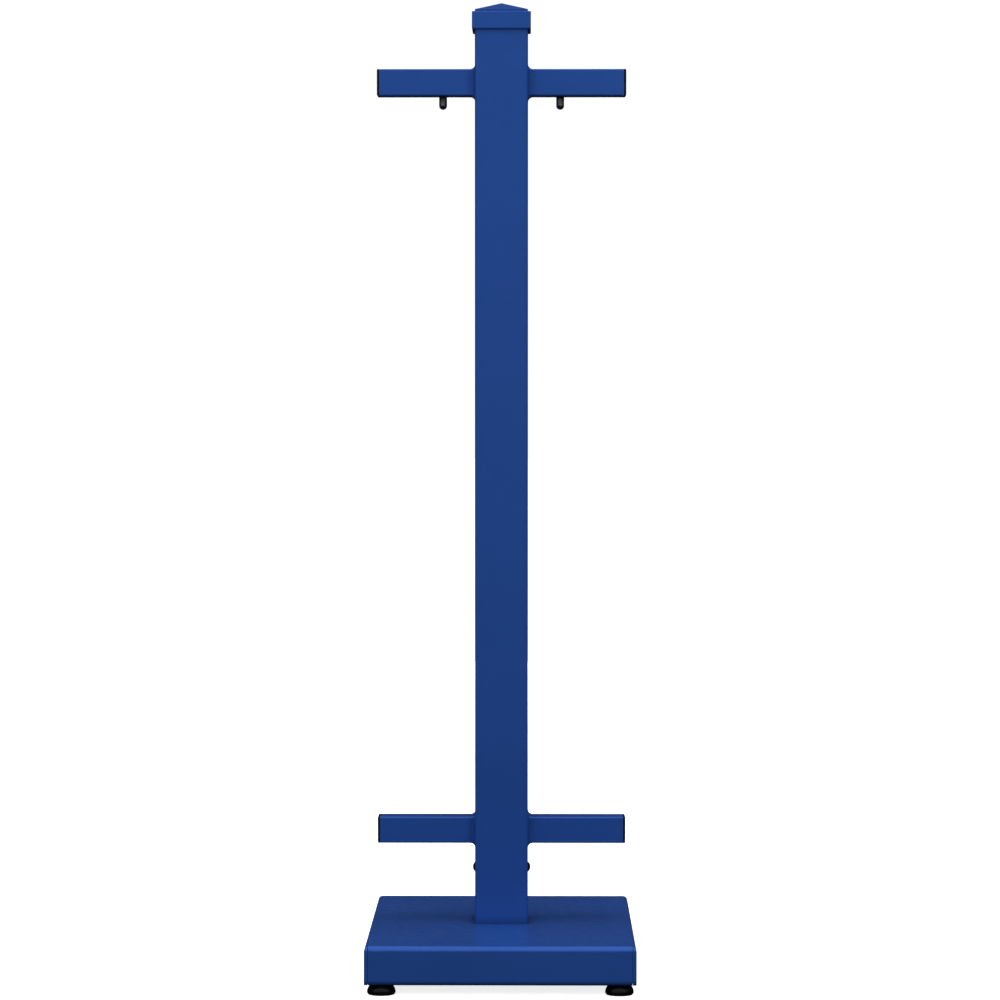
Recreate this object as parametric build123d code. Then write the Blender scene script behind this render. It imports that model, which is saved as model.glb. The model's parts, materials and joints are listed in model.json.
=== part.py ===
from build123d import *
import math
import os

# A double-sided cantilever rack: one square post on a folded sheet-metal base with levelling feet,
# two arms near the top, two arms above the base, and a sprung retaining pin under each upper arm.
# Millimetres. The origin is on the floor under the post's axis, +X right, +Y back, +Z up.

# Base pan, one folded sheet
BASE_WIDTH = 397.0
BASE_DEPTH = 500.0
BASE_TOP = 73.5
SKIRT_BOTTOM = 15.5
SHEET = 5.0
BEND_RADIUS = 8.0
RETURN_LIP = 9.5
CORNER_SEAM = 0.8

# Levelling feet, from the floor up
FOOT_INSET = 24.5
SOLE_RADIUS = 19.8
SOLE_THICKNESS = 2.0
SOLE_EDGE = 1.0
PAD_RADIUS = 21.0
PAD_EDGE = 0.8
PAD_DOME_RADIUS = 15.0
PAD_HUB_RADIUS = 10.0
PAD_TOP = 21.0
BALL_RADIUS = 6.0
BALL_CLEARANCE = 0.05
BALL_CENTRE = 17.0
NECK_RADIUS = 4.0
STUD_HEX = 14.0
STUD_HEX_BOTTOM = 25.0
STUD_HEX_TOP = 30.0
STUD_TOP = 66.0
THREAD_RADIUS = 5.0
THREAD_DEPTH = 0.8
THREAD_PITCH = 1.5
THREAD_RISE = 0.4
THREAD_CREST = 0.2
THREAD_CLEARANCE = 0.05
FOOT_NUT_ACROSS_FLATS = 17.0
FOOT_NUT_HEIGHT = 8.0
LOCK_NUT_HEIGHT = 5.0
BRACKET_SIZE = 62.0
BRACKET_SHEET = 5.0
BRACKET_CORNER = 8.0
BRACKET_BOTTOM = 36.0
BRACKET_UPSTAND_TOP = 60.0
BRACKET_HOLE_RADIUS = 5.5

# Post, spigot and the screws that join them
POST_SIZE = 80.0
POST_WALL = 4.0
POST_CORNER = 5.0
POST_TOP = 1445.0
SPIGOT_SIZE = 70.0
SPIGOT_WALL = 4.0
SPIGOT_CORNER = 4.0
SPIGOT_BOTTOM = 60.0
SPIGOT_TOP = 380.0
SPIGOT_SLOT_CLEARANCE = 0.2
POST_SCREW_Z = 155.0
POST_SCREW_RADIUS = 4.0
POST_SCREW_HOLE_RADIUS = 4.4
POST_SCREW_LENGTH = 20.0
POST_SCREW_HEAD_RADIUS = 7.6
POST_SCREW_HEAD_HEIGHT = 4.0
POST_SCREW_SOCKET = 5.0
POST_SCREW_SOCKET_DEPTH = 2.4
SPIGOT_NUT_ACROSS_FLATS = 13.0
SPIGOT_NUT_HEIGHT = 6.5
SPIGOT_NUT_CLEARANCE = 0.02

# Post cap
CAP_SIZE = 88.6
CAP_SKIRT_BOTTOM = 1422.5
CAP_LEDGE = 1449.0
CAP_WALL = 3.0
CAP_CORNER = 2.0
CAP_EDGE = 1.2
CAP_LOWER_EDGE = 1.8
CAP_ROOF_SIZE = 79.6
CAP_ROOF_EAVES = 1452.3
CAP_APEX = 1465.0
CAP_TIP_SIZE = 0.6
CAP_RIB_WIDTH = 4.0
CAP_RIB_OFFSET = 24.0

# Arms
ARM_SIZE = 40.0
ARM_WALL = 3.0
ARM_CORNER = 2.0
ARM_SPAN = 376.0
ARM_UPPER_Z = 1344.5
ARM_LOWER_Z = 213.5
END_CAP_FLANGE = 3.6
END_CAP_EDGE = 1.8
END_CAP_PLUG_LENGTH = 18.0
END_CAP_PLUG_WALL = 2.0
END_CAP_PLUG_CORNER = 1.0
END_CAP_RIB_HEIGHT = 0.6
END_CAP_RIB_WIDTH = 2.0
END_CAP_RIBS = 3

# Fillet welds
ARM_WELD_RADIUS = 6.5
SPIGOT_WELD_RADIUS = 5.0
WELD_TOE = 0.15
WELD_PENETRATION = 0.5
WELD_STEPS = 8

# Retaining pins under the upper arms
PIN_X = 88.5
PIN_RADIUS = 6.0
PIN_REACH = 20.0
PIN_JOURNAL_RADIUS = 6.5
PIN_CLEARANCE = 0.08
PIN_COLLAR_RADIUS = 8.5
PIN_COLLAR_HEIGHT = 2.0
PIN_STUB_RADIUS = 4.0
PIN_STUB_LENGTH = 8.5
PIN_STUB_CHAMFER = 1.0
BUSH_RADIUS = 8.0
BUSH_FLANGE_RADIUS = 11.0
BUSH_FLANGE_HEIGHT = 3.0
SPRING_RADIUS = 6.7
SPRING_WIRE_RADIUS = 0.8
SPRING_TURNS = 6

# Shared by every square tube and every nut
SMALLEST_BORE_CORNER = 0.5
NUT_CHAMFER_ACROSS = 1.12
NUT_CHAMFER_HEIGHT = 0.09

ON_BASE = (Align.CENTER, Align.CENTER, Align.MIN)
SIDES = {"left": -1, "right": 1}
DEPTHS = {"front": -1, "back": 1}


def square_tube(size, wall, corner, length):
    """A square tube that stands on the XY plane, with its corners rounded outside and inside."""
    inner_corner = max(corner - wall, SMALLEST_BORE_CORNER)
    bore = size - 2 * wall
    section = RectangleRounded(size, size, corner) - RectangleRounded(bore, bore, inner_corner)
    return extrude(section, length)


def hexagon_nut(across_flats, height, bore_radius):
    """A plain hexagon nut that stands on the XY plane, with the corners of both faces chamfered."""
    blank = extrude(RegularPolygon(across_flats / 2, 6, major_radius=False), height)
    envelope = Cylinder(across_flats / 2 * NUT_CHAMFER_ACROSS, height, align=ON_BASE)
    envelope = chamfer(envelope.edges(), height * NUT_CHAMFER_HEIGHT)
    return (blank & envelope) - Cylinder(bore_radius, height, align=ON_BASE)


def melted_outline(size, corner):
    """What is left of a square tube's outline where a weld has melted into its skin."""
    left = size - 2 * WELD_PENETRATION
    return RectangleRounded(left, left, corner - WELD_PENETRATION)


def melted_skin(size, corner, radius):
    """The skin that a weld has melted away at the root of a square tube on the XY plane."""
    return extrude(RectangleRounded(size, size, corner) - melted_outline(size, corner), radius)


def weld_ring(size, corner, radius):
    """A hollow fillet weld round a square tube that leaves the XY plane along +Z."""
    sections = []
    for step in range(WELD_STEPS + 1):
        angle = step / WELD_STEPS * math.pi / 2
        height = radius * (1 - math.cos(angle))
        width = max(radius * (1 - math.sin(angle)), WELD_TOE)
        outline = RectangleRounded(size + 2 * width, size + 2 * width, corner + width)
        sections.append(Pos(0, 0, height) * outline)
    return loft(sections, ruled=True) - extrude(melted_outline(size, corner), radius)


# Base


def pan_outline(width, lower_bend):
    """The outside of the pan's cross-section over one width, with its bends."""
    outline = Rectangle(width, BASE_TOP - SKIRT_BOTTOM, align=(Align.CENTER, Align.MIN))
    outline = fillet(outline.vertices().sort_by(Axis.Y)[-2:], BEND_RADIUS)
    if lower_bend:
        outline = fillet(outline.vertices().sort_by(Axis.Y)[:2], BEND_RADIUS)
    return Pos(0, SKIRT_BOTTOM) * outline


def folded_section(width, return_lip):
    """A top with a flange bent down at each end, and a lip under each flange if it has one."""
    lower_sheet = SHEET if return_lip else 0
    inner_height = BASE_TOP - SKIRT_BOTTOM - SHEET - lower_sheet
    inner = Rectangle(width - 2 * SHEET, inner_height, align=(Align.CENTER, Align.MIN))
    bends = inner.vertices() if return_lip else inner.vertices().sort_by(Axis.Y)[-2:]
    inner = fillet(bends, BEND_RADIUS - SHEET)
    section = pan_outline(width, return_lip) - Pos(0, SKIRT_BOTTOM + lower_sheet) * inner
    if return_lip:
        gap = Rectangle(width - 2 * return_lip, 2 * SHEET)
        section -= Pos(0, SKIRT_BOTTOM) * gap
    return section


def base_pan():
    """The side flanges run the whole depth, and the front and back ones stand between them."""
    sides = extrude(Plane.XZ * folded_section(BASE_WIDTH, 0), BASE_DEPTH / 2, both=True)
    sides &= extrude(Plane.YZ * pan_outline(BASE_DEPTH, True), BASE_WIDTH / 2, both=True)
    between = BASE_WIDTH - 2 * SHEET
    flange_length = between - 2 * CORNER_SEAM
    ends = extrude(Plane.YZ * folded_section(BASE_DEPTH, RETURN_LIP), flange_length / 2, both=True)
    middle = Box(BASE_WIDTH, BASE_DEPTH - 2 * BEND_RADIUS, BASE_TOP, align=ON_BASE)
    ends -= Pos(0, 0, BASE_TOP / 2) * middle
    notch = Box(between, BASE_DEPTH, BASE_TOP, align=ON_BASE) - middle
    opening_size = SPIGOT_SIZE + 2 * SPIGOT_SLOT_CLEARANCE
    opening = extrude(RectangleRounded(opening_size, opening_size, SPIGOT_CORNER), BASE_TOP)
    return (sides - notch) + ends - opening


def spigot():
    """The inner tube that carries the post, with a cross hole for the two post screws."""
    length = SPIGOT_TOP - SPIGOT_BOTTOM
    tube = Pos(0, 0, SPIGOT_BOTTOM) * square_tube(SPIGOT_SIZE, SPIGOT_WALL, SPIGOT_CORNER, length)
    melted = melted_skin(SPIGOT_SIZE, SPIGOT_CORNER, SPIGOT_WELD_RADIUS)
    return tube - under_pan_top() * melted - post_screw_hole()


def spigot_weld():
    """The weld round the spigot on the underside of the pan's top."""
    return under_pan_top() * weld_ring(SPIGOT_SIZE, SPIGOT_CORNER, SPIGOT_WELD_RADIUS)


def under_pan_top():
    """The place on the underside of the pan's top where local +Z points down."""
    return Pos(0, 0, BASE_TOP - SHEET) * Rot(180, 0, 0)


def foot_place(side, depth):
    """The floor point under one levelling foot."""
    return Pos(side * (BASE_WIDTH / 2 - FOOT_INSET), depth * (BASE_DEPTH / 2 - FOOT_INSET), 0)


def foot_bracket(side, depth):
    """An angle plate in one corner of the pan, against the side flange and the end flange."""
    corner_x = side * (BASE_WIDTH / 2 - SHEET)
    corner_y = depth * (BASE_DEPTH / 2 - SHEET)
    towards_corner = (
        Align.MAX if side > 0 else Align.MIN,
        Align.MAX if depth > 0 else Align.MIN,
        Align.MIN,
    )
    shelf = Box(BRACKET_SIZE, BRACKET_SIZE, BRACKET_SHEET, align=towards_corner)
    upstand_height = BRACKET_UPSTAND_TOP - BRACKET_BOTTOM
    upstand = Box(BRACKET_SHEET, BRACKET_SIZE, upstand_height, align=towards_corner)
    bracket = Pos(corner_x, corner_y, BRACKET_BOTTOM) * (shelf + upstand)
    free_corner = bracket.edges().filter_by(Axis.Z).sort_by_distance((0, 0, BRACKET_BOTTOM))[0]
    bracket = fillet(free_corner, BRACKET_CORNER)
    return bracket - foot_place(side, depth) * Cylinder(BRACKET_HOLE_RADIUS, BASE_TOP, align=ON_BASE)


def foot_nuts():
    """The four weld nuts that stand on the foot brackets."""
    height = BRACKET_BOTTOM + BRACKET_SHEET
    nut = hexagon_nut(FOOT_NUT_ACROSS_FLATS, FOOT_NUT_HEIGHT, THREAD_RADIUS + THREAD_CLEARANCE)
    places = [foot_place(side, depth) for side in SIDES.values() for depth in DEPTHS.values()]
    return Compound(children=[place * Pos(0, 0, height) * nut for place in places])


# Levelling feet, each built on its own axis with its sole on the floor


def foot_sole():
    """The rubber sole, a disc with a rounded lower edge."""
    disc = Cylinder(SOLE_RADIUS, SOLE_THICKNESS, align=ON_BASE)
    return fillet(disc.edges().sort_by(Axis.Z)[0], SOLE_EDGE)


def foot_pad():
    """The moulded pad: a low dome with a hub, and a socket for the stud's ball."""
    dome_centre = PAD_RADIUS - PAD_DOME_RADIUS
    widest = (PAD_RADIUS, SOLE_THICKNESS + PAD_EDGE)
    low_edge = (PAD_RADIUS - PAD_EDGE, SOLE_THICKNESS)
    dome_rise = math.sqrt(PAD_DOME_RADIUS**2 - (PAD_HUB_RADIUS - dome_centre) ** 2)
    hub_foot = (PAD_HUB_RADIUS, widest[1] + dome_rise)
    hub_edge = (PAD_HUB_RADIUS, PAD_TOP)
    top_centre = (0, PAD_TOP)
    low_centre = (0, SOLE_THICKNESS)
    outline = [
        Line(low_centre, low_edge),
        TangentArc(low_edge, widest, tangent=(1, 0)),
        TangentArc(widest, hub_foot, tangent=(0, 1)),
        Line(hub_foot, hub_edge),
        Line(hub_edge, top_centre),
        Line(top_centre, low_centre),
    ]
    pad = revolve(Plane.XZ * make_face(outline), Axis.Z)
    socket = Pos(0, 0, BALL_CENTRE) * Sphere(BALL_RADIUS + BALL_CLEARANCE)
    return pad - socket


def threaded_rod(bottom, top):
    """A rod with ridges at the thread's pitch, which stand in for the thread's helix."""
    root = THREAD_RADIUS - THREAD_DEPTH
    points = [(0, bottom), (root, bottom)]
    ridges = int((top - bottom) / THREAD_PITCH)
    for ridge in range(ridges):
        start = bottom + ridge * THREAD_PITCH
        points.append((THREAD_RADIUS, start + THREAD_RISE * THREAD_PITCH))
        points.append((THREAD_RADIUS, start + (THREAD_RISE + THREAD_CREST) * THREAD_PITCH))
        points.append((root, start + THREAD_PITCH))
    points.append((0, top))
    return revolve(Plane.XZ * make_face(Polyline(points, close=True)), Axis.Z)


def foot_stud():
    """The ball, neck, wrench hexagon and thread, in one turned piece."""
    ball = Pos(0, 0, BALL_CENTRE) * Sphere(BALL_RADIUS)
    neck = Pos(0, 0, BALL_CENTRE) * Cylinder(NECK_RADIUS, STUD_HEX_BOTTOM - BALL_CENTRE, align=ON_BASE)
    hexagon = RegularPolygon(STUD_HEX / 2, 6, major_radius=False)
    wrench_flats = Pos(0, 0, STUD_HEX_BOTTOM) * extrude(hexagon, STUD_HEX_TOP - STUD_HEX_BOTTOM)
    return ball + neck + wrench_flats + threaded_rod(STUD_HEX_TOP, STUD_TOP)


def foot_lock_nut():
    """The lock nut, up against the bracket's underside."""
    nut = hexagon_nut(FOOT_NUT_ACROSS_FLATS, LOCK_NUT_HEIGHT, THREAD_RADIUS + THREAD_CLEARANCE)
    return Pos(0, 0, BRACKET_BOTTOM - LOCK_NUT_HEIGHT) * nut


# Post


def post_screw_hole():
    """The hole through both walls of the post and the spigot, along X."""
    return Pos(0, 0, POST_SCREW_Z) * Rot(0, 90, 0) * Cylinder(POST_SCREW_HOLE_RADIUS, POST_SIZE)


def post_tube():
    """The post stands on the pan's top, round the spigot."""
    tube = square_tube(POST_SIZE, POST_WALL, POST_CORNER, POST_TOP - BASE_TOP)
    return Pos(0, 0, BASE_TOP) * tube - post_screw_hole()


def post_screw(side):
    """A dome-headed screw that goes in through one side face of the post."""
    dome_sphere_radius = (
        POST_SCREW_HEAD_RADIUS**2 + POST_SCREW_HEAD_HEIGHT**2
    ) / (2 * POST_SCREW_HEAD_HEIGHT)
    sphere = Pos(0, 0, POST_SCREW_HEAD_HEIGHT - dome_sphere_radius) * Sphere(dome_sphere_radius)
    head = sphere & Cylinder(POST_SCREW_HEAD_RADIUS, POST_SCREW_HEAD_HEIGHT, align=ON_BASE)
    socket = extrude(
        Pos(0, 0, POST_SCREW_HEAD_HEIGHT) * RegularPolygon(POST_SCREW_SOCKET / 2, 6, major_radius=False),
        -POST_SCREW_SOCKET_DEPTH,
    )
    shank = Pos(0, 0, -POST_SCREW_LENGTH) * Cylinder(POST_SCREW_RADIUS, POST_SCREW_LENGTH, align=ON_BASE)
    return post_face(side, POST_SCREW_Z) * (head + shank - socket)


def post_face(side, height):
    """The place on one side face of the post where local +Z points away from the post."""
    return Pos(side * POST_SIZE / 2, 0, height) * Rot(0, side * 90, 0)


def spigot_nuts():
    """A weld nut on the inside of each spigot wall, behind each post screw."""
    bore_radius = POST_SCREW_RADIUS + SPIGOT_NUT_CLEARANCE
    nut = hexagon_nut(SPIGOT_NUT_ACROSS_FLATS, SPIGOT_NUT_HEIGHT, bore_radius)
    depth = (POST_SIZE - SPIGOT_SIZE) / 2 + SPIGOT_WALL + SPIGOT_NUT_HEIGHT
    nuts = [post_face(side, POST_SCREW_Z) * Pos(0, 0, -depth) * nut for side in SIDES.values()]
    return Compound(children=nuts)


def pyramid(size, eaves, apex):
    """A square pyramid with a small flat left at its tip."""
    base = Pos(0, 0, eaves) * Rectangle(size, size)
    tip = Pos(0, 0, apex) * Rectangle(CAP_TIP_SIZE, CAP_TIP_SIZE)
    return loft([base, tip], ruled=True)


def post_cap():
    """A pressed cap: a skirt round the post, a ledge, a low riser and a pyramid roof."""
    skirt_height = CAP_LEDGE - CAP_SKIRT_BOTTOM
    skirt = Pos(0, 0, CAP_SKIRT_BOTTOM) * extrude(
        RectangleRounded(CAP_SIZE, CAP_SIZE, CAP_CORNER), skirt_height
    )
    skirt = fillet(skirt.faces().sort_by(Axis.Z)[0].edges(), CAP_LOWER_EDGE)
    skirt = fillet(skirt.faces().sort_by(Axis.Z)[-1].edges(), CAP_EDGE)
    riser_height = CAP_ROOF_EAVES - CAP_LEDGE
    riser = Pos(0, 0, CAP_LEDGE) * Box(CAP_ROOF_SIZE, CAP_ROOF_SIZE, riser_height, align=ON_BASE)
    outside = skirt + riser + pyramid(CAP_ROOF_SIZE, CAP_ROOF_EAVES, CAP_APEX)
    post_room_size = CAP_SIZE - 2 * CAP_WALL
    post_room_height = CAP_LEDGE - CAP_WALL - CAP_SKIRT_BOTTOM
    post_room = Pos(0, 0, CAP_SKIRT_BOTTOM) * Box(
        post_room_size, post_room_size, post_room_height, align=ON_BASE
    )
    roof_room_size = CAP_ROOF_SIZE - 2 * CAP_WALL
    roof_room = Pos(0, 0, POST_TOP) * Box(
        roof_room_size, roof_room_size, CAP_ROOF_EAVES - CAP_WALL - POST_TOP, align=ON_BASE
    )
    roof_room += pyramid(roof_room_size, CAP_ROOF_EAVES - CAP_WALL, CAP_APEX - CAP_WALL)
    rib_depth = (post_room_size - POST_SIZE) / 2
    rib = Pos(POST_SIZE / 2, 0, CAP_SKIRT_BOTTOM + CAP_WALL) * Box(
        rib_depth,
        CAP_RIB_WIDTH,
        post_room_height - CAP_WALL,
        align=(Align.MIN, Align.CENTER, Align.MIN),
    )
    cap = outside - post_room - roof_room
    for quarter in range(4):
        for offset in (-CAP_RIB_OFFSET, CAP_RIB_OFFSET):
            cap += Rot(0, 0, 90 * quarter) * Pos(0, offset, 0) * rib
    return cap


# Arms, each built along +Z from the post's face


def arm_tube(side, height):
    """One arm, from the post's face to its end cap. An upper arm has the hole for its bush."""
    length = (ARM_SPAN - POST_SIZE) / 2 - END_CAP_FLANGE
    tube = square_tube(ARM_SIZE, ARM_WALL, ARM_CORNER, length)
    tube -= melted_skin(ARM_SIZE, ARM_CORNER, ARM_WELD_RADIUS)
    tube = post_face(side, height) * tube
    if height == ARM_UPPER_Z:
        bush_hole = Cylinder(BUSH_RADIUS, ARM_WALL * 2)
        tube -= Pos(side * PIN_X, 0, height - ARM_SIZE / 2) * bush_hole
    return tube


def arm_weld(side, height):
    """The weld all round the root of one arm."""
    return post_face(side, height) * weld_ring(ARM_SIZE, ARM_CORNER, ARM_WELD_RADIUS)


def arm_end_cap(side, height):
    """A moulded cap: a flange as large as the tube, and a hollow plug whose ribs grip the tube."""
    flange = extrude(RectangleRounded(ARM_SIZE, ARM_SIZE, ARM_CORNER), END_CAP_FLANGE)
    flange = fillet(flange.faces().sort_by(Axis.Z)[-1].edges(), END_CAP_EDGE)
    rib_size = ARM_SIZE - 2 * ARM_WALL
    plug_size = rib_size - 2 * END_CAP_RIB_HEIGHT
    plug = RectangleRounded(plug_size, plug_size, END_CAP_PLUG_CORNER)
    plug = extrude(plug, -END_CAP_PLUG_LENGTH)
    rib_step = END_CAP_PLUG_LENGTH / (END_CAP_RIBS + 1)
    for rib in range(1, END_CAP_RIBS + 1):
        section = RectangleRounded(rib_size, rib_size, END_CAP_PLUG_CORNER)
        plug += extrude(Pos(0, 0, -rib * rib_step) * section, -END_CAP_RIB_WIDTH)
    hollow_size = plug_size - 2 * END_CAP_PLUG_WALL
    plug -= extrude(Rectangle(hollow_size, hollow_size), -END_CAP_PLUG_LENGTH)
    tip = ARM_SPAN / 2 - END_CAP_FLANGE - POST_SIZE / 2
    return post_face(side, height) * Pos(0, 0, tip) * (flange + plug)


# Retaining pins, each built on its own axis at its real height


def pin_bush():
    """The guide bush, flush with the arm's underside, with its flange on the inside."""
    underside = ARM_UPPER_Z - ARM_SIZE / 2
    spigot_part = Pos(0, 0, underside) * Cylinder(BUSH_RADIUS, ARM_WALL, align=ON_BASE)
    flange = Pos(0, 0, underside + ARM_WALL) * Cylinder(
        BUSH_FLANGE_RADIUS, BUSH_FLANGE_HEIGHT, align=ON_BASE
    )
    bore = Pos(0, 0, underside) * Cylinder(
        PIN_JOURNAL_RADIUS + PIN_CLEARANCE, ARM_WALL + BUSH_FLANGE_HEIGHT, align=ON_BASE
    )
    return spigot_part + flange - bore


def collar_bottom():
    """The height of the face that the pin's collar rests on: the top of the bush."""
    return ARM_UPPER_Z - ARM_SIZE / 2 + ARM_WALL + BUSH_FLANGE_HEIGHT


def retaining_pin():
    """A round-ended pin, from its tip: free end, journal in the bush, stop collar and spring stub."""
    underside = ARM_UPPER_Z - ARM_SIZE / 2
    tip = underside - PIN_REACH
    round_end = Pos(0, 0, tip + PIN_RADIUS) * Sphere(PIN_RADIUS)
    free_end = Pos(0, 0, tip + PIN_RADIUS) * Cylinder(PIN_RADIUS, PIN_REACH - PIN_RADIUS, align=ON_BASE)
    journal_length = ARM_WALL + BUSH_FLANGE_HEIGHT
    journal = Pos(0, 0, underside) * Cylinder(PIN_JOURNAL_RADIUS, journal_length, align=ON_BASE)
    collar = Pos(0, 0, collar_bottom()) * Cylinder(PIN_COLLAR_RADIUS, PIN_COLLAR_HEIGHT, align=ON_BASE)
    stub = Pos(0, 0, collar_bottom() + PIN_COLLAR_HEIGHT) * Cylinder(
        PIN_STUB_RADIUS, PIN_STUB_LENGTH, align=ON_BASE
    )
    stub = chamfer(stub.edges().sort_by(Axis.Z)[-1], PIN_STUB_CHAMFER)
    return round_end + free_end + journal + collar + stub


def pin_spring():
    """The coil spring between the pin's collar and the arm's upper wall."""
    bottom = collar_bottom() + PIN_COLLAR_HEIGHT + SPRING_WIRE_RADIUS
    top = ARM_UPPER_Z + ARM_SIZE / 2 - ARM_WALL - SPRING_WIRE_RADIUS
    height = top - bottom
    path = Helix(height / SPRING_TURNS, height, SPRING_RADIUS)
    wire = Plane(path @ 0, z_dir=path % 0) * Circle(SPRING_WIRE_RADIUS)
    return Pos(0, 0, bottom) * sweep(wire, path, is_frenet=True)


def parts():
    """Every node's name and its solid or group of solids, in place."""
    yield "base_pan", base_pan()
    yield "spigot", spigot()
    yield "spigot_weld", spigot_weld()
    yield "foot_nuts", foot_nuts()
    yield "post_tube", post_tube()
    yield "post_cap", post_cap()
    yield "spigot_nuts", spigot_nuts()
    for depth_name, depth in DEPTHS.items():
        for side_name, side in SIDES.items():
            corner = f"{depth_name}_{side_name}"
            place = foot_place(side, depth)
            yield f"foot_bracket_{corner}", foot_bracket(side, depth)
            yield f"foot_sole_{corner}", place * foot_sole()
            yield f"foot_pad_{corner}", place * foot_pad()
            yield f"foot_stud_{corner}", place * foot_stud()
            yield f"foot_lock_nut_{corner}", place * foot_lock_nut()
    for side_name, side in SIDES.items():
        yield f"post_screw_{side_name}", post_screw(side)
        for level_name, height in (("upper", ARM_UPPER_Z), ("lower", ARM_LOWER_Z)):
            arm = f"{level_name}_{side_name}"
            yield f"arm_{arm}", arm_tube(side, height)
            yield f"arm_weld_{arm}", arm_weld(side, height)
            yield f"arm_end_cap_{arm}", arm_end_cap(side, height)
        pin_axis = Pos(side * PIN_X, 0, 0)
        yield f"pin_bush_{side_name}", pin_axis * pin_bush()
        yield f"retaining_pin_{side_name}", pin_axis * retaining_pin()
        yield f"pin_spring_{side_name}", pin_axis * pin_spring()


os.makedirs("parts", exist_ok=True)
for node, shape in parts():
    export_step(shape, f"parts/{node}.step")
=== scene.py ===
import json
import math

import bmesh
import bpy
from mathutils import Matrix, Vector


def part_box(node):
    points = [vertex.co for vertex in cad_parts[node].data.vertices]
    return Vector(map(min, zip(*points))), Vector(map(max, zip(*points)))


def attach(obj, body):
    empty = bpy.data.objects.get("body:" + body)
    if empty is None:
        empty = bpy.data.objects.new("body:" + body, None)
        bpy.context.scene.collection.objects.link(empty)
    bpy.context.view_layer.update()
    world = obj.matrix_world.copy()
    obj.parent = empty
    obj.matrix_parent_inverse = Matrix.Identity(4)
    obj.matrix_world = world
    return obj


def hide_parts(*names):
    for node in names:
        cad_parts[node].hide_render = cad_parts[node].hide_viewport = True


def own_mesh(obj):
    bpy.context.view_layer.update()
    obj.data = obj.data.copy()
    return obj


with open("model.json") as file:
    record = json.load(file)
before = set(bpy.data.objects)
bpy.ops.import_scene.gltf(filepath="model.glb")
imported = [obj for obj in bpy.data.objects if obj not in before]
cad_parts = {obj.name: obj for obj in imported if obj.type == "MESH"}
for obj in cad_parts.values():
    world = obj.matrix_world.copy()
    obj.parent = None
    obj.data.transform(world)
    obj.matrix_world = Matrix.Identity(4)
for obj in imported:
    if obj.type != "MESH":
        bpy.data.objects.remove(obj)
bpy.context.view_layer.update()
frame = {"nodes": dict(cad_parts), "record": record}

MM = 0.001

# Camera: the photographer's place in metres, how far it looks left and down, and its lens in millimetres
CAMERA_PLACE = (0.0438, -5.319, 0.914)
CAMERA_LEFT = 0.008695
CAMERA_DOWN = 0.03756
CAMERA_LENS = 126.2
CAMERA_SENSOR = 36.0
CAMERA_REACH = 200.0

# Studio floor, in metres: it glows more with distance, and so fades into the white behind it
FLOOR_HALF_WIDTH = 30.0
FLOOR_SQUARES = 8
FLOOR_NEAR = 0.5
FLOOR_FAR = 1.7
FLOOR_GLOW_NEAR = 0.80
FLOOR_GLOW_FAR = 1.1

# Studio surroundings: the white behind the object, the light from all round, and what shows mirrored
BACKDROP_GLOW = 1.05
AMBIENT = 0.13
AMBIENT_MIRRORED = 0.02
CANOPY_GLOW = 2.0

# The canopy's edges: two angles up from the horizon in front, and how far it reaches to each side
CANOPY_RISE = math.radians(11.5)
CANOPY_REACH = math.radians(130)
CANOPY_HALF_WIDTH = 0.8
CANOPY_BLUR = 0.15

# Fillet welds
ARM_WELD_RADIUS = 6.7 * MM
ARM_CORNER = 2.0 * MM
SPIGOT_WELD_RADIUS = 5.2 * MM
SPIGOT_CORNER = 4.0 * MM
WELD_ROOT = 0.6 * MM
WELD_TOE = 0.12 * MM
WELD_RIPPLE = 0.16 * MM
WELD_RIPPLE_BOW = 0.5
WELD_PITCH = 2.4 * MM
WELD_STEP = 0.5 * MM
WELD_PROFILE_STEPS = 12

# Springs behind the retaining pins
SPRING_WIRE_RADIUS = 0.8 * MM
SPRING_TURNS = 7
SPRING_CLOSED_TURNS = 0.9
SPRING_STEPS_PER_TURN = 40
SPRING_WIRE_SIDES = 12

SIDES = {"left": -1, "right": 1}
ARMS = [f"{level}_{side}" for level in ("upper", "lower") for side in SIDES]
CORNERS = [f"{end}_{side}" for end in ("front", "back") for side in SIDES]


# Node graphs


# How well a rounded normal agrees with the face's own, on the flat and at an edge
FLAT_AGREEMENT = 0.995
EDGE_AGREEMENT = 0.86
BEVEL_SAMPLES = 4

# The stretches of a noise's values that are spread over the whole of a range
NOISE_WIDE = (0.3, 0.7)
NOISE_NARROW = (0.35, 0.65)


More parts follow.
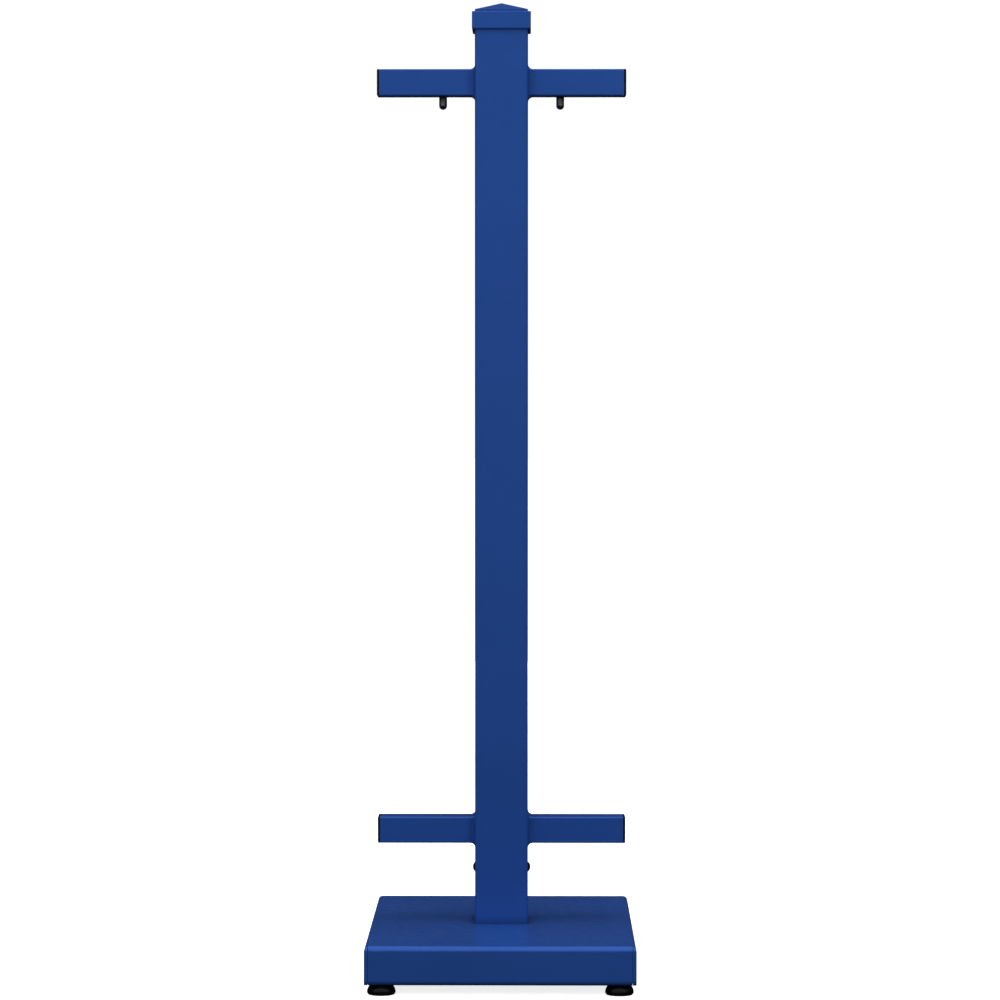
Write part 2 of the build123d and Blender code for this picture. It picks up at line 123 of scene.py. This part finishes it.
class Graph:
    """A short way to write a node tree."""

    def __init__(self, tree):
        self.tree = tree
        tree.nodes.clear()

    def node(self, kind, settings=None, **inputs):
        """Adds a node with its properties and its inputs, which go by name, or by number as in _0."""
        node = self.tree.nodes.new(kind)
        for name, value in (settings or {}).items():
            setattr(node, name, value)
        for name, value in inputs.items():
            socket = node.inputs[int(name[1:])] if name[0] == "_" else node.inputs[name.replace("_", " ")]
            if isinstance(value, bpy.types.NodeSocket):
                self.tree.links.new(value, socket)
            else:
                socket.default_value = value
        return node

    def maths(self, operation, first, second=0.0):
        """A Math node's result."""
        return self.node("ShaderNodeMath", {"operation": operation}, _0=first, _1=second).outputs[0]

    def span(self, value, low, high, to_low=0.0, to_high=1.0):
        """value mapped from low..high to to_low..to_high, and held there."""
        inputs = {"_0": value, "_1": low, "_2": high, "_3": to_low, "_4": to_high}
        return self.node("ShaderNodeMapRange", {"clamp": True}, **inputs).outputs[0]

    def noise(self, coordinates, scale, detail=2.0, roughness=0.5):
        """A noise texture's value, with features about 1/scale metres across."""
        inputs = {"Vector": coordinates, "Scale": scale, "Detail": detail, "Roughness": roughness}
        return self.node("ShaderNodeTexNoise", None, **inputs).outputs["Fac"]

    def mix(self, factor, first, second):
        """Two colours mixed by factor."""
        settings = {"data_type": "RGBA"}
        return self.node("ShaderNodeMix", settings, _0=factor, _6=first, _7=second).outputs[2]

    def place(self):
        """Coordinates in metres, fixed to the piece."""
        return self.node("ShaderNodeTexCoord").outputs["Object"]

    def dot(self, first, second):
        """Two vectors' dot product."""
        settings = {"operation": "DOT_PRODUCT"}
        return self.node("ShaderNodeVectorMath", settings, _0=first, _1=second).outputs["Value"]

    def edges(self, radius, most=1.0):
        """0 on flat stretches, rising to most on convex and concave edges about radius wide."""
        rounded = self.node("ShaderNodeBevel", {"samples": BEVEL_SAMPLES}, Radius=radius).outputs[0]
        flat = self.node("ShaderNodeNewGeometry").outputs["Normal"]
        return self.span(self.dot(rounded, flat), FLAT_AGREEMENT, EDGE_AGREEMENT, 0.0, most)


def rgb(red, green, blue):
    """A linear colour."""
    return (red, green, blue, 1.0)


WHITE = rgb(1.0, 1.0, 1.0)


def material(name):
    """A new material and its empty graph."""
    made = bpy.data.materials.new(name)
    made.use_nodes = True
    return made, Graph(made.node_tree)


def finish_surface(graph, shader):
    """Joins a shader to the material's output."""
    graph.node("ShaderNodeOutputMaterial", None, Surface=shader.outputs[0])


def bump(graph, height, distance, strength):
    """A normal raised by a height field, distance metres deep at most."""
    inputs = {"Height": height, "Distance": distance, "Strength": strength}
    return graph.node("ShaderNodeBump", None, **inputs).outputs[0]


# Materials


# Powder coat: colours, roughness from glossy to dull patches, wear on edges, orange peel, and painted shade
# in corners and along the base's lower edge
PAINT_DEEP = rgb(0.0175, 0.068, 0.290)
PAINT_LIGHT = rgb(0.0195, 0.072, 0.310)
PAINT_WORN = rgb(0.06, 0.14, 0.42)
PAINTED_LOW_SHADE = rgb(0.009, 0.034, 0.14)
PAINTED_CORNER_SHADE = rgb(0.001, 0.006, 0.04)
PAINT_ROUGHNESS = (0.29, 0.34)
WEAR_WIDTH = 0.9 * MM
WEAR_PATCHES = (0.48, 0.62)
WEAR_LEAST = 0.5
WEAR_TINT = 0.35
WEAR_DULLING = 0.1
PEEL_DEPTH = 0.07 * MM
GRAIN_IN_PEEL = 0.18
CORNER_REACH = 14.0 * MM
CORNER_SAMPLES = 8
CORNER_OPENNESS = 0.4
CORNER_SHADE = 0.5

# The heights where the base's painted shade along its lower edge is full and where it has faded out
LOW_SHADE_FULL = 15.5 * MM
LOW_SHADE_GONE = 22.0 * MM

PLASTIC_DEEP = rgb(0.0018, 0.0018, 0.002)
PLASTIC_LIGHT = rgb(0.0036, 0.0036, 0.004)
PLASTIC_EDGE = rgb(0.008, 0.008, 0.009)

RUBBER_CLEAN = rgb(0.004, 0.004, 0.004)
RUBBER_DUSTY = rgb(0.012, 0.0115, 0.011)
DUST_PATCHES = (0.45, 0.75)

STEEL_EDGE = rgb(0.36, 0.36, 0.35)
TURNING_SCALE = (300.0, 300.0, 4200.0)

OXIDE_DEEP = rgb(0.006, 0.0065, 0.008)
OXIDE_LIGHT = rgb(0.014, 0.014, 0.016)
OXIDE_EDGE = rgb(0.03, 0.03, 0.033)
OXIDE_ROUGHNESS = (0.3, 0.42)

FLOOR_DEEP = rgb(0.80, 0.80, 0.80)
FLOOR_LIGHT = rgb(0.83, 0.83, 0.83)


def powder_coat(name, low_shade=False):
    """Blue powder coat with orange peel, slightly uneven, paler on its edges, with painted shade in its
    corners and, for the base, painted shade along its lower edge.
    """
    made, graph = material(name)
    place = graph.place()
    clouds = graph.noise(place, scale=5.0, detail=3.0)
    colour = graph.mix(graph.span(clouds, *NOISE_NARROW), PAINT_DEEP, PAINT_LIGHT)
    rub = graph.noise(place, scale=240.0, detail=4.0, roughness=0.65)
    rub = graph.span(rub, *WEAR_PATCHES, WEAR_LEAST, 1.0)
    worn = graph.maths("MULTIPLY", graph.edges(WEAR_WIDTH), rub)
    colour = graph.mix(graph.maths("MULTIPLY", worn, WEAR_TINT), colour, PAINT_WORN)
    # Painted shade: the coat darkens towards the base's lower edge, standing in for the shade that falls
    # there
    if low_shade:
        height = graph.node("ShaderNodeSeparateXYZ", None, Vector=place).outputs["Z"]
        colour = graph.mix(graph.span(height, LOW_SHADE_GONE, LOW_SHADE_FULL), colour, PAINTED_LOW_SHADE)
    # Painted shade: the coat is darkened wherever nearby surfaces hem it in, as in corners, beside welds and
    # under the cap
    settings = {"samples": CORNER_SAMPLES}
    openness = graph.node("ShaderNodeAmbientOcclusion", settings, Distance=CORNER_REACH).outputs["AO"]
    shade = graph.span(openness, 1.0, CORNER_OPENNESS, 0.0, CORNER_SHADE)
    colour = graph.mix(shade, colour, PAINTED_CORNER_SHADE)
    peel = graph.noise(place, scale=520.0, detail=1.0)
    grain = graph.noise(place, scale=2600.0, detail=2.0)
    skin = graph.maths("ADD", peel, graph.maths("MULTIPLY", grain, GRAIN_IN_PEEL))
    mottle = graph.span(graph.noise(place, scale=90.0, detail=3.0), *NOISE_WIDE, *PAINT_ROUGHNESS)
    shader = graph.node(
        "ShaderNodeBsdfPrincipled",
        None,
        Base_Color=colour,
        Metallic=0.3,
        Roughness=graph.maths("ADD", mottle, graph.maths("MULTIPLY", worn, WEAR_DULLING)),
        IOR=1.5,
        Specular_IOR_Level=0.1,
        Normal=bump(graph, skin, distance=PEEL_DEPTH, strength=0.8),
    )
    finish_surface(graph, shader)
    return made


def black_plastic(name, smooth, rough, grain_depth):
    """Moulded black plastic with a fine grain, its roughness between smooth and rough."""
    made, graph = material(name)
    place = graph.place()
    clouds = graph.noise(place, scale=40.0)
    colour = graph.mix(graph.span(clouds, *NOISE_WIDE), PLASTIC_DEEP, PLASTIC_LIGHT)
    colour = graph.mix(graph.edges(0.7 * MM, most=0.5), colour, PLASTIC_EDGE)
    patches = graph.noise(place, scale=160.0)
    grain = graph.noise(place, scale=1900.0, detail=3.0, roughness=0.6)
    shader = graph.node(
        "ShaderNodeBsdfPrincipled",
        None,
        Base_Color=colour,
        Roughness=graph.span(patches, *NOISE_WIDE, smooth, rough),
        IOR=1.49,
        Specular_IOR_Level=0.08,
        Normal=bump(graph, grain, distance=grain_depth, strength=0.6),
    )
    finish_surface(graph, shader)
    return made


def black_rubber(name):
    """Matt rubber, a little dusty."""
    made, graph = material(name)
    place = graph.place()
    dust = graph.noise(place, scale=220.0, detail=4.0, roughness=0.65)
    grain = graph.noise(place, scale=1200.0, detail=3.0)
    shader = graph.node(
        "ShaderNodeBsdfPrincipled",
        None,
        Base_Color=graph.mix(graph.span(dust, *DUST_PATCHES), RUBBER_CLEAN, RUBBER_DUSTY),
        Roughness=0.78,
        IOR=1.52,
        Specular_IOR_Level=0.2,
        Normal=bump(graph, grain, distance=0.06 * MM, strength=0.6),
    )
    finish_surface(graph, shader)
    return made


def turned_steel(name, dark, light, smooth, rough):
    """Steel with fine turning marks round the vertical, dark to light in its clouds."""
    made, graph = material(name)
    place = graph.place()
    stretched = graph.node("ShaderNodeMapping", None, Vector=place, Scale=TURNING_SCALE).outputs[0]
    marks = graph.noise(stretched, scale=1.0, detail=3.0, roughness=0.6)
    clouds = graph.noise(place, scale=130.0, detail=3.0)
    colour = graph.mix(graph.span(clouds, *NOISE_NARROW), dark, light)
    colour = graph.mix(graph.edges(0.5 * MM, most=0.4), colour, STEEL_EDGE)
    shader = graph.node(
        "ShaderNodeBsdfPrincipled",
        None,
        Base_Color=colour,
        Metallic=1.0,
        Roughness=graph.span(marks, *NOISE_WIDE, smooth, rough),
        Normal=bump(graph, marks, distance=0.02 * MM, strength=0.5),
    )
    finish_surface(graph, shader)
    return made


def black_oxide(name):
    """Blackened screw steel, oiled."""
    made, graph = material(name)
    place = graph.place()
    clouds = graph.noise(place, scale=300.0, detail=3.0)
    colour = graph.mix(graph.span(clouds, *NOISE_NARROW), OXIDE_DEEP, OXIDE_LIGHT)
    colour = graph.mix(graph.edges(0.4 * MM, most=0.5), colour, OXIDE_EDGE)
    patches = graph.noise(place, scale=700.0)
    grain = graph.noise(place, scale=2200.0)
    shader = graph.node(
        "ShaderNodeBsdfPrincipled",
        None,
        Base_Color=colour,
        Metallic=0.6,
        Roughness=graph.span(patches, *NOISE_WIDE, *OXIDE_ROUGHNESS),
        IOR=1.6,
        Specular_IOR_Level=0.2,
        Normal=bump(graph, grain, distance=0.02 * MM, strength=0.5),
    )
    finish_surface(graph, shader)
    return made


def studio_floor(name):
    """Plain pale studio board that fades into the white behind it, and is clear from below."""
    made, graph = material(name)
    place = graph.place()
    tone = graph.noise(place, scale=0.6)
    distance = graph.node("ShaderNodeVectorMath", {"operation": "LENGTH"}, _0=place).outputs["Value"]
    board = graph.node(
        "ShaderNodeBsdfPrincipled",
        None,
        Base_Color=graph.mix(graph.span(tone, *NOISE_WIDE), FLOOR_DEEP, FLOOR_LIGHT),
        Roughness=0.9,
        Emission_Color=WHITE,
        Emission_Strength=graph.span(distance, FLOOR_NEAR, FLOOR_FAR, FLOOR_GLOW_NEAR, FLOOR_GLOW_FAR),
    )
    clear = graph.node("ShaderNodeBsdfTransparent")
    underside = graph.node("ShaderNodeNewGeometry").outputs["Backfacing"]
    inputs = {"_0": underside, "_1": board.outputs[0], "_2": clear.outputs[0]}
    finish_surface(graph, graph.node("ShaderNodeMixShader", None, **inputs))
    return made


# Meshes


def add_mesh(name, mesh, smooth=True):
    """A bmesh as a new object in the scene."""
    data = bpy.data.meshes.new(name)
    mesh.to_mesh(data)
    mesh.free()
    for polygon in data.polygons:
        polygon.use_smooth = smooth
    made = bpy.data.objects.new(name, data)
    bpy.context.scene.collection.objects.link(made)
    return made


def rounded_square(size, corner, fraction):
    """A point and its outward direction, fraction of the way round a square with round corners."""
    flat = size / 2 - corner
    side = 2 * flat
    bend = corner * math.pi / 2
    quarter, along = divmod(fraction * 4 * (side + bend), side + bend)
    if along < side:
        point = Vector((size / 2, along - flat))
        outward = Vector((1, 0))
    else:
        angle = (along - side) / corner
        outward = Vector((math.cos(angle), math.sin(angle)))
        point = Vector((flat, flat)) + corner * outward
    turn = Matrix.Rotation(quarter * math.pi / 2, 2)
    return turn @ point, turn @ outward


def ring_surface(mesh, rings, closed):
    """Joins matching rings of points into a surface, back to the first one if closed."""
    loops = [[mesh.verts.new(point) for point in ring] for ring in rings]
    spans = len(loops) if closed else len(loops) - 1
    for step in range(spans):
        loop, following = loops[step], loops[(step + 1) % len(loops)]
        for part, vertex in enumerate(loop):
            other = (part + 1) % len(loop)
            mesh.faces.new((vertex, following[part], following[other], loop[other]))
    if not closed:
        mesh.faces.new(loops[0])
        mesh.faces.new(reversed(loops[-1]))
    bmesh.ops.recalc_face_normals(mesh, faces=mesh.faces)


def weld_profile(radius, turn):
    """A fillet weld's section, as points out from and along the tube, with the ripple that turn gives it."""
    points = [(-WELD_ROOT, 0.0), (radius, 0.0)]
    for part in range(WELD_PROFILE_STEPS):
        angle = part / (WELD_PROFILE_STEPS - 1) * math.pi / 2
        arch = math.sin(2 * angle)
        phase = turn + WELD_RIPPLE_BOW * arch
        swell = WELD_RIPPLE * arch * (0.5 + 0.5 * math.sin(2 * math.pi * phase))
        width = radius * (1 - math.sin(angle)) + WELD_TOE + swell
        height = radius * (1 - math.cos(angle)) + WELD_TOE + swell
        points.append((width, height))
    points.append((0.0, radius + 2 * WELD_TOE))
    points.append((-WELD_ROOT, radius))
    return points


def weld_bead(name, size, corner, radius, to_row):
    """A weld with a hollow face all round a square tube, rippled where each pool of metal set."""
    length = 4 * (size - 2 * corner) + 2 * math.pi * corner
    ripples = round(length / WELD_PITCH)
    steps = round(length / WELD_STEP)
    rings = []
    for step in range(steps):
        fraction = step / steps
        point, outward = rounded_square(size, corner, fraction)
        ring = []
        for width, height in weld_profile(radius, fraction * ripples):
            flat = point + outward * width
            ring.append(to_row @ Vector((flat.x, flat.y, height)))
        rings.append(ring)
    mesh = bmesh.new()
    ring_surface(mesh, rings, closed=True)
    return add_mesh(name, mesh)


def wire_heights(bottom, top):
    """How high a spring's wire is at each step: closed turns at both ends, and open ones between them."""
    closed_rise = SPRING_CLOSED_TURNS * 2 * SPRING_WIRE_RADIUS
    open_rise = top - bottom - 2 * closed_rise
    open_turns = SPRING_TURNS - 2 * SPRING_CLOSED_TURNS
    heights = []
    for step in range(SPRING_TURNS * SPRING_STEPS_PER_TURN + 1):
        turn = step / SPRING_STEPS_PER_TURN
        from_end = min(turn, SPRING_TURNS - turn)
        if from_end < SPRING_CLOSED_TURNS:
            rise = from_end / SPRING_CLOSED_TURNS * closed_rise
            heights.append(bottom + rise if turn < SPRING_TURNS / 2 else top - rise)
        else:
            share = (turn - SPRING_CLOSED_TURNS) / open_turns
            heights.append(bottom + closed_rise + share * open_rise)
    return heights


def coil(name, centre, low, high, radius):
    """A compression spring with closed ends, from low to high round a vertical axis."""
    rings = []
    for step, height in enumerate(wire_heights(low + SPRING_WIRE_RADIUS, high - SPRING_WIRE_RADIUS)):
        angle = step / SPRING_STEPS_PER_TURN * 2 * math.pi
        outward = Vector((math.cos(angle), math.sin(angle), 0))
        middle = Vector((centre.x, centre.y, height)) + outward * radius
        ring = []
        for side in range(SPRING_WIRE_SIDES):
            turn = side / SPRING_WIRE_SIDES * 2 * math.pi
            spoke = math.cos(turn) * outward + Vector((0, 0, math.sin(turn)))
            ring.append(middle + SPRING_WIRE_RADIUS * spoke)
        rings.append(ring)
    mesh = bmesh.new()
    ring_surface(mesh, rings, closed=False)
    return add_mesh(name, mesh)


def paint(piece, finish):
    """Gives a piece its one material."""
    piece.data.materials.clear()
    piece.data.materials.append(finish)


# The object


coat = powder_coat("powder_coat_blue")
# The base's coat carries painted shade along its lower edge
coat_base_low_shade = powder_coat("powder_coat_blue_base_low_shade", low_shade=True)
plastic = black_plastic("plastic_black", smooth=0.40, rough=0.52, grain_depth=0.04 * MM)
nylon = black_plastic("nylon_black", smooth=0.17, rough=0.23, grain_depth=0.012 * MM)
rubber = black_rubber("rubber_black")
dark_steel = turned_steel(
    "steel_dark",
    dark=rgb(0.17, 0.17, 0.168),
    light=rgb(0.29, 0.29, 0.286),
    smooth=0.28,
    rough=0.42,
)
zinc = turned_steel(
    "steel_zinc",
    dark=rgb(0.42, 0.43, 0.44),
    light=rgb(0.58, 0.59, 0.60),
    smooth=0.24,
    rough=0.38,
)
spring_wire = turned_steel(
    "steel_spring",
    dark=rgb(0.25, 0.25, 0.26),
    light=rgb(0.36, 0.36, 0.37),
    smooth=0.22,
    rough=0.36,
)
oxide = black_oxide("steel_black_oxide")

# The finish of each of the record's material slots
FINISHES = {
    "blue_powder_coat": coat,
    "blue_weld": coat,
    "black_plastic": plastic,
    "black_rubber": rubber,
    "black_steel": oxide,
    "dark_steel": dark_steel,
    "zinc_steel": zinc,
    "spring_steel": spring_wire,
}


def finish_cad_nodes():
    """Every CAD node gets the material of its slot, but the base has painted shade low down and the feet are
    nylon.
    """
    for subpart in frame["record"]["subparts"]:
        node = frame["nodes"][subpart["node"]]
        paint(node, FINISHES[subpart["material_slot"]])
    paint(frame["nodes"]["base_pan"], coat_base_low_shade)
    for corner in CORNERS:
        paint(frame["nodes"][f"foot_pad_{corner}"], nylon)


def stand_for(piece, finish, node):
    """Puts a piece on the fixed rack in place of a CAD node, with a finish."""
    paint(piece, finish)
    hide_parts(node)
    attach(piece, "rack")


def build_arm_welds():
    """A rippled bead in place of each arm's plain weld ring."""
    for arm in ARMS:
        side = SIDES[arm.split("_")[1]]
        low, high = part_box(f"arm_{arm}")
        root = low.x if side > 0 else high.x
        to_row = Matrix.Translation((root, 0, (low.z + high.z) / 2))
        to_row @= Matrix.Rotation(side * math.pi / 2, 4, "Y")
        bead = weld_bead(f"weld_bead_{arm}", high.z - low.z, ARM_CORNER, ARM_WELD_RADIUS, to_row)
        stand_for(bead, coat, f"arm_weld_{arm}")


def build_spigot_weld():
    """The same kind of bead round the spigot, under the pan's top."""
    low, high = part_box("spigot")
    to_row = Matrix.Translation((0, 0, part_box("spigot_weld")[1].z)) @ Matrix.Rotation(math.pi, 4, "X")
    bead = weld_bead("weld_bead_spigot", high.x - low.x, SPIGOT_CORNER, SPIGOT_WELD_RADIUS, to_row)
    stand_for(bead, coat, "spigot_weld")


def build_springs():
    """A coil in place of each stiff CAD spring, fixed to the rack."""
    for side in SIDES:
        low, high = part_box(f"pin_spring_{side}")
        centre = (low + high) / 2
        radius = (high.x - low.x) / 2 - SPRING_WIRE_RADIUS
        spring = coil(f"spring_coil_{side}", centre, low.z, high.z, radius)
        stand_for(spring, spring_wire, f"pin_spring_{side}")
        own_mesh(spring)


# The studio


def build_floor():
    """A large plain floor under the feet, which throws no light back up at them."""
    mesh = bmesh.new()
    squares = {"x_segments": FLOOR_SQUARES, "y_segments": FLOOR_SQUARES}
    bmesh.ops.create_grid(mesh, size=FLOOR_HALF_WIDTH, **squares)
    floor = add_mesh("studio_floor", mesh, smooth=False)
    floor.visible_diffuse = False
    floor.visible_glossy = False
    paint(floor, studio_floor("floor_pale"))


def add_softbox(name, place, target, size, radiance):
    """A rectangular soft light aimed at a point, as bright all over as radiance says, but never mirrored."""
    width, height = size
    light = bpy.data.lights.new(name, "AREA")
    light.shape = "RECTANGLE"
    light.size, light.size_y = width, height
    light.energy = radiance * width * height * math.pi
    made = bpy.data.objects.new(name, light)
    made.location = place
    made.rotation_euler = (Vector(target) - Vector(place)).to_track_quat("-Z", "Y").to_euler()
    made.visible_camera = False
    made.visible_glossy = False
    bpy.context.scene.collection.objects.link(made)


def canopy(graph):
    """1 in the directions of a white canopy: from low in front, overhead, and part of the way down behind."""
    direction = graph.node("ShaderNodeTexCoord").outputs["Generated"]
    front_edge = (0.0, math.sin(CANOPY_RISE), math.cos(CANOPY_RISE))
    rear_edge = (0.0, -math.sin(CANOPY_REACH), -math.cos(CANOPY_REACH))
    across = graph.node("ShaderNodeSeparateXYZ", None, Vector=direction).outputs["X"]
    inside = graph.span(graph.maths("ABSOLUTE", across), CANOPY_HALF_WIDTH + CANOPY_BLUR, CANOPY_HALF_WIDTH)
    for edge in (front_edge, rear_edge):
        within = graph.span(graph.dot(direction, edge), 0.0, CANOPY_BLUR)
        inside = graph.maths("MULTIPLY", inside, within)
    return inside


def build_world():
    """White behind the object, a little light from all round, and the canopy where it's mirrored."""
    world = bpy.data.worlds.new("studio")
    world.use_nodes = True
    bpy.context.scene.world = world
    graph = Graph(world.node_tree)
    backdrop = graph.node("ShaderNodeBackground", None, Color=WHITE, Strength=BACKDROP_GLOW)
    ambient = graph.node("ShaderNodeBackground", None, Color=WHITE, Strength=AMBIENT)
    glow = graph.span(canopy(graph), 0.0, 1.0, AMBIENT_MIRRORED, CANOPY_GLOW)
    mirrored = graph.node("ShaderNodeBackground", None, Color=WHITE, Strength=glow)
    path = graph.node("ShaderNodeLightPath").outputs
    inputs = {"_0": path["Is Glossy Ray"], "_1": ambient.outputs[0], "_2": mirrored.outputs[0]}
    around = graph.node("ShaderNodeMixShader", None, **inputs)
    inputs = {"_0": path["Is Camera Ray"], "_1": around.outputs[0], "_2": backdrop.outputs[0]}
    mixed = graph.node("ShaderNodeMixShader", None, **inputs)
    graph.node("ShaderNodeOutputWorld", None, Surface=mixed.outputs[0])


def build_lights():
    """Soft diffuse light from all sides. What is seen mirrored in the object is the canopy."""
    middle = (0, 0, 0.8)
    low = (0, 0, 0.4)
    add_softbox("light_fill", place=(0, -5.5, 2.4), target=middle, size=(9.0, 4.0), radiance=2.25)
    add_softbox("light_top", place=(0, -1.0, 5.0), target=low, size=(3.5, 3.0), radiance=4.15)
    for side, sign in SIDES.items():
        place = (sign * 4.5, 0, 1.6)
        add_softbox(f"light_{side}", place=place, target=middle, size=(3.0, 3.0), radiance=2.2)
    add_softbox("light_back", place=(0, 5.5, 1.2), target=middle, size=(4.0, 3.0), radiance=3.4)


def build_camera():
    """The photographer's camera, level with two thirds of the post."""
    lens = bpy.data.cameras.new("camera")
    lens.sensor_width = CAMERA_SENSOR
    lens.lens = CAMERA_LENS
    lens.clip_end = CAMERA_REACH
    camera = bpy.data.objects.new("camera", lens)
    camera.location = CAMERA_PLACE
    camera.rotation_euler = (math.pi / 2 - CAMERA_DOWN, 0, CAMERA_LEFT)
    bpy.context.scene.collection.objects.link(camera)
    bpy.context.scene.camera = camera


finish_cad_nodes()
build_arm_welds()
build_spigot_weld()
build_springs()
build_floor()
build_world()
build_lights()
build_camera()

# Colours show as they are, with no film curve
bpy.context.scene.view_settings.view_transform = "Standard"
